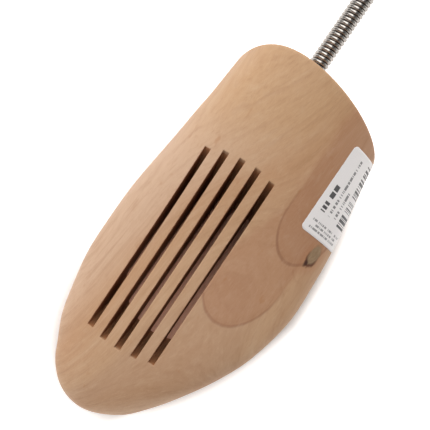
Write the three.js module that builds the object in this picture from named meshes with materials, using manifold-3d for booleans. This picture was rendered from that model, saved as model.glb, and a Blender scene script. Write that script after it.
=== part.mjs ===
// Wooden shoe tree for a left shoe: a carved forepart block and a turned heel knob
// joined by a close-wound coil spring. Millimetres, +X toward the toe, +Y toward the
// outer (little toe) side, +Z up. The sole of the block lies in the plane Z = 0 and
// the origin is under the middle of the whole tree.

import * as THREE from 'three';
import { mergeVertices } from 'three/addons/utils/BufferGeometryUtils.js';
import Module from 'manifold-3d';

// ---------------------------------------------------------------- dimensions
const TOE_X = 168.8;          // toe tip
const HEEL_X = -168.8;        // far end of the heel knob
const NOSE_Z = 12;            // height of the toe tip
const CREST_Y = -9.9;         // line of the highest points of the instep
const BACK_FACE_X0 = 17.5;    // back face of the block at the sole plane
const BACK_FACE_SLOPE = 0.37; // the back face leans toward the heel by this much per mm of height
const SOLE_ROUND = 16;        // governs how far the sole edge is rounded inward
const TOE_SPRING = 26;        // length over which the sole curves up to the toe tip

const SPRING_Y = -7.3;        // spring axis
const SPRING_Z = 24;
const COIL_OD = 8.7;          // outside diameter of the coil
const WIRE = 1.85;            // wire diameter
const PITCH = 1.96;           // close wound
const OPEN_PITCH = 4.5;       // the one spread turn that lets the nail through
const COIL_STEPS = 8;         // steps in each turn
const WIRE_SIDES = 6;
const BEND_FIRST_X = 3.3;     // first bending station of the spring
const BEND_STEP = 8.25;       // distance between bending stations
const BEND_COUNT = 16;
const BEND_GAP = 1.7;         // clearance between neighbouring stretches of the coil

const BORE_D = 9.5;           // bores that take the ends of the spring
const BORE_DEPTH = 24;
const DOWEL_D = 4.4;
const DOWEL_LENGTH = 18;
const NAIL_D = 1.6;
const NAIL_HEAD_D = 3.6;
const NAIL_HEAD_T = 0.8;
const NAIL_HOLE_D = 2.2;
const NAIL_SINK_D = 4.4;
const NAIL_SINK = 1.2;
const NAIL_TIP_Z = 25.4;
const FRONT_NAIL_X = 23.5;
const REAR_NAIL_X = -141;

const KNOB_FRONT_X = -124.8;
const KNOB_R = 24;

const SLOT_W = 2.7;
const SLOT_TURN = 0.35;       // degrees, the slots run this much off the spring axis
const SLOTS = [
  [-24.0, 137.9, 48.0],
  [-16.6, 139.15, 46.0],
  [-9.2, 139.1, 45.1],
  [-1.6, 138.45, 44.7],
  [6.0, 136.6, 45.6],
];
const SLOT_FLOOR_Z = 3.6;
const SLOT_TOE_RUN = 13;      // length of the sloping floor left by the saw at the toe end
const SLOT_INSTEP_RUN = 17;
const SLOT_END_POWER = 1.2;   // 1 is a straight ramp, 2 a quarter ellipse

const HOLLOW_TOE_X = 125.1;   // relief routed into the underside
const HOLLOW_REAR_X = 47.5;
const HOLLOW_Y = -3;
const HOLLOW_R = 24.8;
const HOLLOW_ROOF_TOE_Z = 7.4; // the relief gets a little shallower toward the heel
const HOLLOW_ROOF_REAR_Z = 4.4;

const LABEL_X0 = 12.6;        // paper label on the outer side
const LABEL_X1 = 53.7;
const LABEL_HEIGHT = 25;
const LABEL_TOP_Y = 25.4;
const LABEL_T = 0.35;
const LABEL_GAP = 0.3;

// ---------------------------------------------------------------- block sections
// distance behind the toe tip, inner edge y, outer edge y
const OUTLINE = [
  [0, -10.1, -10.1], [4.3, -23.05, 3.3], [8.6, -27.45, 9.5], [12.9, -30.5, 13.55], [17.2, -32.5, 17],
  [21.4, -34.55, 20.2], [25.8, -36.65, 23.2], [30, -38.2, 25.9], [38.6, -40.28, 31.1], [47.1, -42, 35.5],
  [55.7, -43.45, 39.15], [64.1, -44.1, 41.6], [72.7, -44.27, 43.5], [81.3, -44.27, 44.7], [89.9, -44.04, 44.8],
  [98.5, -43.3, 44.3], [107.1, -42.35, 43.75], [115.8, -41.35, 42.85], [124.5, -40.45, 41.7], [133.2, -39.6, 40.4],
  [141.8, -38.55, 38.9], [150.6, -37.85, 37.4], [165, -36.8, 35.8], [175, -36.3, 34.4], [186, -35.7, 32.8],
];
// distance behind the toe tip, crest height, height of the widest line, fullness inner side, outer side
const HEIGHTS = [
  [0, 12, 12, 2.0, 2.0], [4, 19.8, 12.2, 2.0, 2.0], [8.6, 22.9, 12.6, 2.02, 2.0], [12.9, 24.9, 13.0, 2.05, 2.0],
  [20, 27.2, 13.8, 2.1, 2.0], [30, 29.2, 15.4, 2.15, 1.98], [38.8, 30.2, 16.6, 2.2, 1.95], [55, 31.6, 18, 2.2, 1.9],
  [78, 34.2, 18, 2.25, 1.85], [98, 38.6, 18, 2.3, 1.8], [117, 44.2, 18, 2.35, 1.8], [135, 48.8, 18, 2.4, 1.78],
  [151, 52.4, 18, 2.4, 1.75], [165, 55.2, 18, 2.4, 1.75], [173.6, 56.8, 18, 2.4, 1.75], [186, 58.6, 18, 2.4, 1.75],
];

// natural cubic spline through the table, in the square root of the distance so that the nose is round
function spline(table, col) {
  const xs = table.map((r) => Math.sqrt(r[0]));
  const ys = table.map((r) => r[col]);
  const n = xs.length;
  const m = new Array(n).fill(0);
  const a = new Array(n).fill(0);
  const b = new Array(n).fill(1);
  const c = new Array(n).fill(0);
  const d = new Array(n).fill(0);
  for (let i = 1; i < n - 1; i++) {
    const h0 = xs[i] - xs[i - 1];
    const h1 = xs[i + 1] - xs[i];
    a[i] = h0; b[i] = 2 * (h0 + h1); c[i] = h1;
    d[i] = 6 * ((ys[i + 1] - ys[i]) / h1 - (ys[i] - ys[i - 1]) / h0);
  }
  for (let i = 1; i < n; i++) {
    const w = a[i] / b[i - 1];
    b[i] -= w * c[i - 1];
    d[i] -= w * d[i - 1];
  }
  for (let i = n - 1; i >= 0; i--) m[i] = (d[i] - (i < n - 1 ? c[i] * m[i + 1] : 0)) / b[i];
  return (dist) => {
    const x = Math.sqrt(Math.max(0, dist));
    let i = 0;
    while (i < n - 2 && x > xs[i + 1]) i++;
    const h = xs[i + 1] - xs[i];
    const t0 = xs[i + 1] - x;
    const t1 = x - xs[i];
    return (m[i] * t0 ** 3 + m[i + 1] * t1 ** 3) / (6 * h)
      + (ys[i] / h - m[i] * h / 6) * t0 + (ys[i + 1] / h - m[i + 1] * h / 6) * t1;
  };
}
const yInner = spline(OUTLINE, 1);
const yOuter = spline(OUTLINE, 2);
const zCrest = spline(HEIGHTS, 1);
const zWide = spline(HEIGHTS, 2);
const fullInner = spline(HEIGHTS, 3);
const fullOuter = spline(HEIGHTS, 4);

function soleZ(dist) {
  if (dist >= TOE_SPRING) return 0;
  const t = 1 - dist / TOE_SPRING;
  return NOSE_Z * (1 - Math.sqrt(1 - t * t));
}

// point on the upper surface: a from 0 at the crest to 1 at the widest line, side -1 inner or +1 outer
function upper(dist, side, a) {
  const yi = yInner(dist);
  const yo = yOuter(dist);
  const yc = Math.min(Math.max(CREST_Y, yi), yo);
  const w = side > 0 ? yo - yc : yc - yi;
  const n = side > 0 ? fullOuter(dist) : fullInner(dist);
  const f = a * Math.PI / 2;
  return [yc + side * w * Math.sin(f) ** (2 / n), zWide(dist) + (zCrest(dist) - zWide(dist)) * Math.cos(f) ** (2 / n)];
}

function lower(dist, side, a) {
  const yi = yInner(dist);
  const yo = yOuter(dist);
  const half = (yo - yi) / 2;
  const inset = SOLE_ROUND * half / (SOLE_ROUND + half);
  const f = a * Math.PI / 2;
  const edge = side > 0 ? yo : yi;
  const zw = zWide(dist);
  const zs = soleZ(dist);
  return [edge - side * inset * (1 - Math.cos(f)), zw - (zw - zs) * Math.sin(f)];
}

// ---------------------------------------------------------------- solids
const wasm = await Module();
wasm.setup();

function solid(geometry) {
  let g = geometry.clone();
  g.deleteAttribute('normal');
  g.deleteAttribute('uv');
  g = mergeVertices(g, 1e-4);
  const index = g.index.array;
  const tris = [];
  for (let i = 0; i < index.length; i += 3) {
    const [a, b, c] = [index[i], index[i + 1], index[i + 2]];
    if (a !== b && b !== c && a !== c) tris.push(a, b, c);
  }
  return new wasm.Manifold(new wasm.Mesh({
    numProp: 3,
    vertProperties: new Float32Array(g.attributes.position.array),
    triVerts: new Uint32Array(tris),
  }));
}

function geometryOf(manifold) {
  const mesh = manifold.getMesh();
  const g = new THREE.BufferGeometry();
  const n = mesh.numProp;
  const pos = new Float32Array((mesh.vertProperties.length / n) * 3);
  for (let i = 0; i < pos.length / 3; i++) {
    for (let k = 0; k < 3; k++) pos[i * 3 + k] = mesh.vertProperties[i * n + k];
  }
  g.setAttribute('position', new THREE.BufferAttribute(pos, 3));
  g.setIndex(new THREE.BufferAttribute(new Uint32Array(mesh.triVerts), 1));
  g.computeVertexNormals();
  return g;
}

function cylinderX(d, x0, x1, y, z, sides) {
  const g = new THREE.CylinderGeometry(d / 2, d / 2, Math.abs(x1 - x0), sides);
  g.rotateZ(Math.PI / 2);
  g.translate((x0 + x1) / 2, y, z);
  return g;
}

function cylinderZ(d, z0, z1, x, y, sides) {
  const g = new THREE.CylinderGeometry(d / 2, d / 2, z1 - z0, sides);
  g.rotateX(Math.PI / 2);
  g.translate(x, y, (z0 + z1) / 2);
  return g;
}

// forepart block: sections across X from behind the back face to the toe tip
function blockBody() {
  const dists = [186, 174, 162, 150, 138, 127, 116, 105, 94, 83, 72, 61, 51, 42, 34, 27, 21, 15.5, 10.5, 6.5, 3.5, 1.5, 0.4];
  const NU = 11;
  const NL = 4;
  const rings = dists.map((dist) => {
    const ring = [];
    for (let i = NU; i > 0; i--) ring.push(upper(dist, -1, i / NU));
    for (let i = 0; i <= NU; i++) ring.push(upper(dist, 1, i / NU));
    for (let i = 1; i <= NL; i++) ring.push(lower(dist, 1, i / NL));
    for (let i = NL; i >= 1; i--) ring.push(lower(dist, -1, i / NL));
    return ring.map(([y, z]) => [TOE_X - dist, y, z]);
  });
  const n = rings[0].length;
  const pos = [];
  const idx = [];
  rings.forEach((ring) => ring.forEach((p) => pos.push(...p)));
  for (let s = 0; s < rings.length - 1; s++) {
    for (let i = 0; i < n; i++) {
      const j = (i + 1) % n;
      const a = s * n + i;
      const b = s * n + j;
      const c = (s + 1) * n + i;
      const d = (s + 1) * n + j;
      idx.push(a, d, b, a, c, d);
    }
  }
  const tip = pos.length / 3;
  pos.push(TOE_X, yInner(0), NOSE_Z);
  const last = (rings.length - 1) * n;
  for (let i = 0; i < n; i++) idx.push(last + ((i + 1) % n), last + i, tip);
  const back = pos.length / 3;
  pos.push(TOE_X - dists[0], 0, 20);
  for (let i = 0; i < n; i++) idx.push(i, (i + 1) % n, back);
  const g = new THREE.BufferGeometry();
  g.setAttribute('position', new THREE.BufferAttribute(new Float32Array(pos), 3));
  g.setIndex(idx);
  return g;
}

// slot left by a saw: curved floor at both ends, straight between
function slotCutter([y, toe, instep]) {
  const s = new THREE.Shape();
  const top = 70;
  const ztoe = 31;
  const zinstep = 47;
  s.moveTo(instep, top);
  s.lineTo(instep, zinstep);
  const N = 7;
  const power = (v) => Math.max(v, 0) ** (2 / SLOT_END_POWER);
  for (let i = 1; i <= N; i++) {
    const a = (i / N) * Math.PI / 2;
    s.lineTo(instep + SLOT_INSTEP_RUN * (1 - power(Math.cos(a))), zinstep - (zinstep - SLOT_FLOOR_Z) * power(Math.sin(a)));
  }
  for (let i = N; i >= 1; i--) {
    const a = (i / N) * Math.PI / 2;
    s.lineTo(toe - SLOT_TOE_RUN * (1 - power(Math.cos(a))), ztoe - (ztoe - SLOT_FLOOR_Z) * power(Math.sin(a)));
  }
  s.lineTo(toe, ztoe);
  s.lineTo(toe, top);
  s.closePath();
  const g = new THREE.ExtrudeGeometry(s, { depth: SLOT_W, bevelEnabled: false });
  g.rotateX(Math.PI / 2);              // profile into the XZ plane, depth along -Y
  g.translate(-90, SLOT_W / 2, 0);
  g.rotateZ(THREE.MathUtils.degToRad(SLOT_TURN));
  g.translate(90, y, 0);
  return g;
}

function hollowCutter() {
  const s = new THREE.Shape();
  const c0 = HOLLOW_REAR_X + HOLLOW_R;
  const c1 = HOLLOW_TOE_X - HOLLOW_R;
  const N = 14;
  for (let i = 0; i <= N; i++) {
    const a = -Math.PI / 2 + (i / N) * Math.PI;
    const p = [c1 + HOLLOW_R * Math.cos(a), HOLLOW_Y + HOLLOW_R * Math.sin(a)];
    if (i === 0) s.moveTo(...p); else s.lineTo(...p);
  }
  for (let i = 0; i <= N; i++) {
    const a = Math.PI / 2 + (i / N) * Math.PI;
    s.lineTo(c0 + HOLLOW_R * Math.cos(a), HOLLOW_Y + HOLLOW_R * Math.sin(a));
  }
  s.closePath();
  const g = new THREE.ExtrudeGeometry(s, { depth: 10, bevelEnabled: false });
  g.translate(0, 0, -5);
  const pos = g.attributes.position;
  for (let i = 0; i < pos.count; i++) {
    if (pos.getZ(i) < 0) continue;
    const t = (pos.getX(i) - HOLLOW_REAR_X) / (HOLLOW_TOE_X - HOLLOW_REAR_X);
    pos.setZ(i, HOLLOW_ROOF_REAR_Z + (HOLLOW_ROOF_TOE_Z - HOLLOW_ROOF_REAR_Z) * t);
  }
  return g;
}

function backCutter() {
  // half space behind the leaning back face
  const s = new THREE.Shape();
  const at = (z) => BACK_FACE_X0 - BACK_FACE_SLOPE * z;
  s.moveTo(at(-10), -10);
  s.lineTo(at(90), 90);
  s.lineTo(-90, 90);
  s.lineTo(-90, -10);
  s.closePath();
  const g = new THREE.ExtrudeGeometry(s, { depth: 160, bevelEnabled: false });
  g.rotateX(Math.PI / 2);
  g.translate(0, 80, 0);
  return g;
}

const backFaceX = BACK_FACE_X0 - BACK_FACE_SLOPE * SPRING_Z;
const frontBoreEnd = backFaceX + BORE_DEPTH;
const rearBoreEnd = KNOB_FRONT_X - BORE_DEPTH;

let block = solid(blockBody()).subtract(solid(backCutter()));
block = block.subtract(solid(hollowCutter()));
for (const slot of SLOTS) block = block.subtract(solid(slotCutter(slot)));
block = block.subtract(solid(cylinderX(BORE_D, frontBoreEnd, -40, SPRING_Y, SPRING_Z, 20)));
block = block.subtract(solid(cylinderZ(NAIL_HOLE_D, -2, SPRING_Z, FRONT_NAIL_X, SPRING_Y, 10)));
block = block.subtract(solid(cylinderZ(NAIL_SINK_D, -2, NAIL_SINK, FRONT_NAIL_X, SPRING_Y, 14)));

// heel knob: egg turned about the spring axis, flat where the spring enters
const KNOB_PROFILE = [
  [0, 9.5], [0.6, 10.6], [2.5, 13.0], [6, 16.6], [10.5, 20.0], [15.5, 22.6], [20.5, 23.8], [24.5, 24], [29, 23.3],
  [33.5, 21.3], [37.5, 18.0], [40.5, 14.0], [42.6, 9.4], [43.7, 4.7], [44, 0],
];
const knobPoints = [new THREE.Vector2(0, 0), ...KNOB_PROFILE.map(([x, r]) => new THREE.Vector2(r, x))];
const knobGeometry = new THREE.LatheGeometry(knobPoints, 28);
knobGeometry.rotateZ(Math.PI / 2);     // the turning axis becomes -X
knobGeometry.rotateX(Math.PI / 28);
knobGeometry.translate(KNOB_FRONT_X, SPRING_Y, SPRING_Z);
let knob = solid(knobGeometry);
knob = knob.subtract(solid(cylinderX(BORE_D, rearBoreEnd, KNOB_FRONT_X + 5, SPRING_Y, SPRING_Z, 20)));
const knobNailBottom = SPRING_Z - 22.9;
knob = knob.subtract(solid(cylinderZ(NAIL_HOLE_D, -2, SPRING_Z, REAR_NAIL_X, SPRING_Y, 10)));
knob = knob.subtract(solid(cylinderZ(NAIL_SINK_D, -2, knobNailBottom + NAIL_SINK, REAR_NAIL_X, SPRING_Y, 14)));

// coil: right-handed helix about the spring axis, running from x0 down to x1
const COIL_R = (COIL_OD - WIRE) / 2;
class Coil extends THREE.Curve {
  constructor(x0, x1, openAt) {
    super();
    this.x0 = x0;
    this.x1 = x1;
    const extra = openAt === undefined ? 0 : OPEN_PITCH - PITCH;
    this.turns = (x0 - x1 - extra) / PITCH;
    this.extra = extra;
    // the phase puts the middle of the spread turn opposite the bottom of the coil,
    // so the wire leaves a gap there that is centred on the nail
    this.mid = openAt === undefined ? 0 : (x0 - openAt - extra / 2) / PITCH;
    this.phase = openAt === undefined ? Math.PI / 2 : Math.PI / 2 + 2 * Math.PI * this.mid;
  }

  getPoint(t, target = new THREE.Vector3()) {
    const q = t * this.turns;
    let x = this.x0 - PITCH * q;
    if (this.extra) {
      const s = THREE.MathUtils.clamp(q - this.mid + 0.5, 0, 1);
      x -= this.extra * s * s * (3 - 2 * s);
    }
    const a = this.phase - 2 * Math.PI * q;
    return target.set(x, COIL_R * Math.cos(a) + SPRING_Y, COIL_R * Math.sin(a) + SPRING_Z);
  }
}

function coilGeometry(x0, x1, openAt) {
  const path = new Coil(x0, x1, openAt);
  const s = new THREE.Shape();
  for (let i = 0; i < WIRE_SIDES; i++) {
    const a = (i / WIRE_SIDES) * 2 * Math.PI;
    const p = [WIRE / 2 * Math.cos(a), WIRE / 2 * Math.sin(a)];
    if (i === 0) s.moveTo(...p); else s.lineTo(...p);
  }
  s.closePath();
  return new THREE.ExtrudeGeometry(s, {
    steps: Math.ceil(path.turns * COIL_STEPS), extrudePath: path, bevelEnabled: false,
  });
}

function dowelGeometry(x0, x1, nailX) {
  const body = solid(cylinderX(DOWEL_D, x0, x1, SPRING_Y, SPRING_Z, 14));
  const hole = solid(cylinderZ(NAIL_HOLE_D, SPRING_Z - 6, NAIL_TIP_Z + 0.3, nailX, SPRING_Y, 10));
  return geometryOf(body.subtract(hole));
}

function nailGeometry(zHead, length) {
  const pts = [
    [0, 0], [NAIL_HEAD_D / 2 - 0.2, 0], [NAIL_HEAD_D / 2, 0.2], [NAIL_HEAD_D / 2, NAIL_HEAD_T], [NAIL_D / 2, NAIL_HEAD_T],
    [NAIL_D / 2, length - 1.6], [0, length],
  ].map(([r, z]) => new THREE.Vector2(r, z));
  const g = new THREE.LatheGeometry(pts, 12);
  g.rotateX(Math.PI / 2);
  g.translate(0, 0, zHead);
  return g;
}

// label: a thin skin that follows the outer side of the block
function labelGeometry() {
  const NX = 8;
  const NS = 8;
  const outer = [];
  const inner = [];
  for (let i = 0; i <= NX; i++) {
    const x = LABEL_X0 + (LABEL_X1 - LABEL_X0) * (i / NX);
    const dist = TOE_X - x;
    const line = [];
    let start = -1;
    for (let k = 0; k <= 200; k++) {
      line.push(upper(dist, 1, k / 200));
      if (start < 0 && line[k][0] >= LABEL_TOP_Y) start = k;
    }
    for (let k = 1; k <= 100; k++) line.push(lower(dist, 1, k / 100));
    const len = [0];
    for (let k = start + 1; k < line.length; k++) {
      len.push(len[len.length - 1] + Math.hypot(line[k][0] - line[k - 1][0], line[k][1] - line[k - 1][1]));
    }
    for (let j = 0; j <= NS; j++) {
      const want = LABEL_HEIGHT * (j / NS);
      let k = 0;
      while (k < len.length - 2 && len[k + 1] < want) k++;
      const f = (want - len[k]) / (len[k + 1] - len[k]);
      const p = line[start + k];
      const q = line[start + k + 1];
      const y = p[0] + (q[0] - p[0]) * f;
      const z = p[1] + (q[1] - p[1]) * f;
      const l = Math.hypot(q[0] - p[0], q[1] - p[1]);
      const ny = -(q[1] - p[1]) / l;
      const nz = (q[0] - p[0]) / l;
      inner.push([x, y + ny * LABEL_GAP, z + nz * LABEL_GAP]);
      outer.push([x, y + ny * (LABEL_GAP + LABEL_T), z + nz * (LABEL_GAP + LABEL_T)]);
    }
  }
  const row = NS + 1;
  const count = (NX + 1) * row;
  const pos = [...outer, ...inner].flat();
  const idx = [];
  for (let i = 0; i < NX; i++) {
    for (let j = 0; j < NS; j++) {
      const a = i * row + j;
      idx.push(a, a + 1, a + row, a + 1, a + row + 1, a + row);
      idx.push(a + count, a + row + count, a + 1 + count, a + 1 + count, a + row + count, a + row + 1 + count);
    }
  }
  const rim = [];
  for (let j = 0; j < NS; j++) rim.push(j);
  for (let i = 0; i < NX; i++) rim.push(i * row + NS);
  for (let j = NS; j > 0; j--) rim.push(NX * row + j);
  for (let i = NX; i > 0; i--) rim.push(i * row);
  for (let k = 0; k < rim.length; k++) {
    const a = rim[k];
    const b = rim[(k + 1) % rim.length];
    idx.push(b, a, a + count, b, a + count, b + count);
  }
  const g = new THREE.BufferGeometry();
  g.setAttribute('position', new THREE.BufferAttribute(new Float32Array(pos), 3));
  g.setIndex(idx);
  // faces must point away from the paper
  const A = new THREE.Vector3();
  const B = new THREE.Vector3();
  const C = new THREE.Vector3();
  let volume = 0;
  for (let i = 0; i < idx.length; i += 3) {
    A.fromArray(pos, idx[i] * 3);
    B.fromArray(pos, idx[i + 1] * 3);
    C.fromArray(pos, idx[i + 2] * 3);
    volume += A.dot(B.cross(C)) / 6;
  }
  if (volume < 0) {
    for (let i = 0; i < idx.length; i += 3) [idx[i + 1], idx[i + 2]] = [idx[i + 2], idx[i + 1]];
    g.setIndex(idx);
  }
  g.computeVertexNormals();
  return g;
}

// ---------------------------------------------------------------- materials
const birch = new THREE.MeshStandardMaterial({ color: 0xc59a78, roughness: 0.6, metalness: 0 });
const paleWood = new THREE.MeshStandardMaterial({ color: 0xd6b58e, roughness: 0.65, metalness: 0 });
const nickel = new THREE.MeshStandardMaterial({ color: 0xb9b6b0, roughness: 0.25, metalness: 1 });
const steel = new THREE.MeshStandardMaterial({ color: 0x8d8d8d, roughness: 0.4, metalness: 1 });
const paper = new THREE.MeshStandardMaterial({ color: 0xf2f1ee, roughness: 0.8, metalness: 0 });

// ---------------------------------------------------------------- assembly
const shoeTree = new THREE.Group();
const forepart = new THREE.Group();
const spring = new THREE.Group();
const heel = new THREE.Group();
shoeTree.add(forepart, spring, heel);

function put(group, name, geometry, material, x = 0, y = 0, z = 0) {
  const mesh = new THREE.Mesh(geometry, material);
  mesh.name = name;
  mesh.position.set(x, y, z);
  group.add(mesh);
  return mesh;
}

put(forepart, 'forepart_block', geometryOf(block), birch);
put(forepart, 'label', labelGeometry(), paper);
put(forepart, 'front_dowel', dowelGeometry(frontBoreEnd - 0.5, frontBoreEnd - 0.5 - DOWEL_LENGTH, FRONT_NAIL_X), paleWood);
put(forepart, 'front_nail', nailGeometry(0.2, NAIL_TIP_Z - 0.2), steel, FRONT_NAIL_X, SPRING_Y, 0);

const inset = BEND_GAP / 2 + WIRE / 2;
put(forepart, 'coil_spring_root', coilGeometry(frontBoreEnd - 0.4 - WIRE / 2, BEND_FIRST_X + inset, FRONT_NAIL_X), nickel);
for (let i = 1; i < BEND_COUNT; i++) {
  const x0 = BEND_FIRST_X - BEND_STEP * (i - 1) - inset;
  const x1 = BEND_FIRST_X - BEND_STEP * i + inset;
  put(spring, `coil_spring_${String(i).padStart(2, '0')}`, coilGeometry(x0, x1), nickel);
}
const bendLastX = BEND_FIRST_X - BEND_STEP * (BEND_COUNT - 1);
put(heel, 'coil_spring_tip', coilGeometry(bendLastX - inset, rearBoreEnd + 0.4 + WIRE / 2, REAR_NAIL_X), nickel);
put(heel, 'rear_dowel', dowelGeometry(rearBoreEnd + 0.5, rearBoreEnd + 0.5 + DOWEL_LENGTH, REAR_NAIL_X), paleWood);
put(heel, 'rear_nail', nailGeometry(knobNailBottom + 0.2, NAIL_TIP_Z - knobNailBottom - 0.2), steel, REAR_NAIL_X, SPRING_Y, 0);
put(heel, 'heel_knob', geometryOf(knob), birch);

export default shoeTree;
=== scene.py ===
import math
import bpy
import numpy as np
from mathutils import Vector, Matrix


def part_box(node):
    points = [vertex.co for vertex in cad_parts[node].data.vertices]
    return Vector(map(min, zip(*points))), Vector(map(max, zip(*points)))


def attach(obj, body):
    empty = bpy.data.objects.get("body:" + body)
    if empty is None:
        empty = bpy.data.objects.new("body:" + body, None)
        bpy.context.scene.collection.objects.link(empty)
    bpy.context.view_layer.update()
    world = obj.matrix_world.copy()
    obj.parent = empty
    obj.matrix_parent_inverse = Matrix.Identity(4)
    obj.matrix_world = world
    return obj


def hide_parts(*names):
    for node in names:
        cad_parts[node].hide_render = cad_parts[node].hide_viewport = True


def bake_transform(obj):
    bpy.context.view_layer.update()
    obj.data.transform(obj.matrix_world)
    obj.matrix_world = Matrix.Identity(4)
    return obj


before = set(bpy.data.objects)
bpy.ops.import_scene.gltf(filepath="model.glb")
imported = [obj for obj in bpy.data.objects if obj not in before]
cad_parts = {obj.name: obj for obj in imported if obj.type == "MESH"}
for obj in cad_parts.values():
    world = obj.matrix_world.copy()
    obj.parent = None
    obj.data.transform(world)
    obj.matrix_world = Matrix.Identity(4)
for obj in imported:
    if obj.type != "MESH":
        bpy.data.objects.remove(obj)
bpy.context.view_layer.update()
MM = 0.001

# ------------------------------------------------------------------ dimensions, in millimetres
_b_lo, _b_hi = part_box("forepart_block")
_k_lo, _k_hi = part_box("heel_knob")
_c_lo, _c_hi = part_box("coil_spring_05")
TOE_X = _b_hi.x / MM
KNOB_END_X = _k_lo.x / MM
KNOB_FRONT_X = _k_hi.x / MM
NOSE_Z = 12.0
CREST_Y = -9.9
BACK_X0, BACK_SLOPE = 17.5, 0.37
SOLE_ROUND, TOE_SPRING = 16.0, 26.0
SPRING_Y, SPRING_Z = -7.3, 24.0
COIL_OD, WIRE, PITCH, OPEN_PITCH = 8.65, 1.98, 2.048, 4.5
BORE_D, BORE_DEPTH = 9.5, 24.0
FRONT_NAIL_X, REAR_NAIL_X = 23.5, -141.0
BEND_FIRST_X, BEND_STEP, BEND_COUNT = 3.3, 8.25, 16
SLOT_W, SLOT_TURN = 2.7, math.radians(0.35)
SLOTS = [(-24.0, 137.9, 48.0), (-16.6, 139.15, 46.0), (-9.2, 139.1, 45.1), (-1.6, 138.45, 44.7), (6.0, 136.6, 45.6)]
SLOT_FLOOR, SLOT_TOE_RUN, SLOT_INSTEP_RUN, SLOT_END_POWER = 3.6, 13.0, 17.0, 1.2
HOLLOW = dict(toe=125.1, rear=47.5, y=-3.0, r=24.8, roof_toe=7.4, roof_rear=4.4)
LABEL_X0, LABEL_X1, LABEL_H, LABEL_TOP_Y = 12.6, 53.7, 25.0, 25.4

OUTLINE = np.array([
    [0, -10.1, -10.1], [4.3, -23.05, 3.3], [8.6, -27.45, 9.5], [12.9, -30.5, 13.55], [17.2, -32.5, 17],
    [21.4, -34.55, 20.2], [25.8, -36.65, 23.2], [30, -38.2, 25.9], [38.6, -40.28, 31.1], [47.1, -42, 35.5],
    [55.7, -43.45, 39.15], [64.1, -44.1, 41.6], [72.7, -44.27, 43.5], [81.3, -44.27, 44.7], [89.9, -44.04, 44.8],
    [98.5, -43.3, 44.3], [107.1, -42.35, 43.75], [115.8, -41.35, 42.85], [124.5, -40.45, 41.7], [133.2, -39.6, 40.4],
    [141.8, -38.55, 38.9], [150.6, -37.85, 37.4], [165, -36.8, 35.8], [175, -36.3, 34.4], [186, -35.7, 32.8]])
HEIGHTS = np.array([
    [0, 12, 12, 2.0, 2.0], [4, 19.8, 12.2, 2.0, 2.0], [8.6, 22.9, 12.6, 2.02, 2.0], [12.9, 24.9, 13.0, 2.05, 2.0],
    [20, 27.2, 13.8, 2.1, 2.0], [30, 29.2, 15.4, 2.15, 1.98], [38.8, 30.2, 16.6, 2.2, 1.95], [55, 31.6, 18, 2.2, 1.9],
    [78, 34.2, 18, 2.25, 1.85], [98, 38.6, 18, 2.3, 1.8], [117, 44.2, 18, 2.35, 1.8], [135, 48.8, 18, 2.4, 1.78],
    [151, 52.4, 18, 2.4, 1.75], [165, 55.2, 18, 2.4, 1.75], [173.6, 56.8, 18, 2.4, 1.75], [186, 58.6, 18, 2.4, 1.75]])
# distance from the far end of the knob, radius
KNOB = np.array([
    [0, 0], [0.3, 4.7], [1.4, 9.4], [3.5, 14.0], [6.5, 18.0], [10.5, 21.3], [15, 23.3], [19.5, 23.9], [23.5, 23.7],
    [28.5, 22.5], [33.5, 19.9], [38, 16.5], [41.5, 12.95], [43.4, 10.6], [44, 9.5], [48, 3.0]])


def spline(xs, ys):
    """natural cubic spline, returned as a fine lookup"""
    n = len(xs)
    h = np.diff(xs)
    A = np.zeros((n, n))
    b = np.zeros(n)
    A[0, 0] = A[-1, -1] = 1
    for i in range(1, n - 1):
        A[i, i - 1], A[i, i], A[i, i + 1] = h[i - 1], 2 * (h[i - 1] + h[i]), h[i]
        b[i] = 6 * ((ys[i + 1] - ys[i]) / h[i] - (ys[i] - ys[i - 1]) / h[i - 1])
    m = np.linalg.solve(A, b)
    t = np.linspace(xs[0], xs[-1], 6000)
    k = np.clip(np.searchsorted(xs, t, side="right") - 1, 0, n - 2)
    t0, t1, hh = xs[k + 1] - t, t - xs[k], h[k]
    v = (m[k] * t0 ** 3 + m[k + 1] * t1 ** 3) / (6 * hh) + (ys[k] / hh - m[k] * hh / 6) * t0 + (ys[k + 1] / hh - m[k + 1] * hh / 6) * t1
    return lambda q: np.interp(q, t, v)


_ro = np.sqrt(OUTLINE[:, 0])
_rh = np.sqrt(HEIGHTS[:, 0])
y_inner, y_outer = spline(_ro, OUTLINE[:, 1]), spline(_ro, OUTLINE[:, 2])
z_crest, z_wide = spline(_rh, HEIGHTS[:, 1]), spline(_rh, HEIGHTS[:, 2])
full_in, full_out = spline(_rh, HEIGHTS[:, 3]), spline(_rh, HEIGHTS[:, 4])
knob_r = spline(np.sqrt(KNOB[:, 0]), KNOB[:, 1])


def sole_z(d):
    t = np.clip(1 - d / TOE_SPRING, 0, 1)
    return NOSE_Z * (1 - np.sqrt(np.maximum(1 - t * t, 0)))


def section_point(d, a):
    """point on the outer side of the section d behind the toe: a 0..1 crest to widest line, 1..2 widest line to sole"""
    s = math.sqrt(d)
    yi, yo, zc, zw, n = (float(f(s)) for f in (y_inner, y_outer, z_crest, z_wide, full_out))
    if a <= 1:
        f = a * math.pi / 2
        return (CREST_Y + (yo - CREST_Y) * math.sin(f) ** (2 / n), zw + (zc - zw) * max(math.cos(f), 0) ** (2 / n))
    f = (a - 1) * math.pi / 2
    half = (yo - yi) / 2
    inset = SOLE_ROUND * half / (SOLE_ROUND + half)
    zs = float(sole_z(d))
    return (yo - inset * (1 - math.cos(f)), zw - (zw - zs) * math.sin(f))


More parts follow.
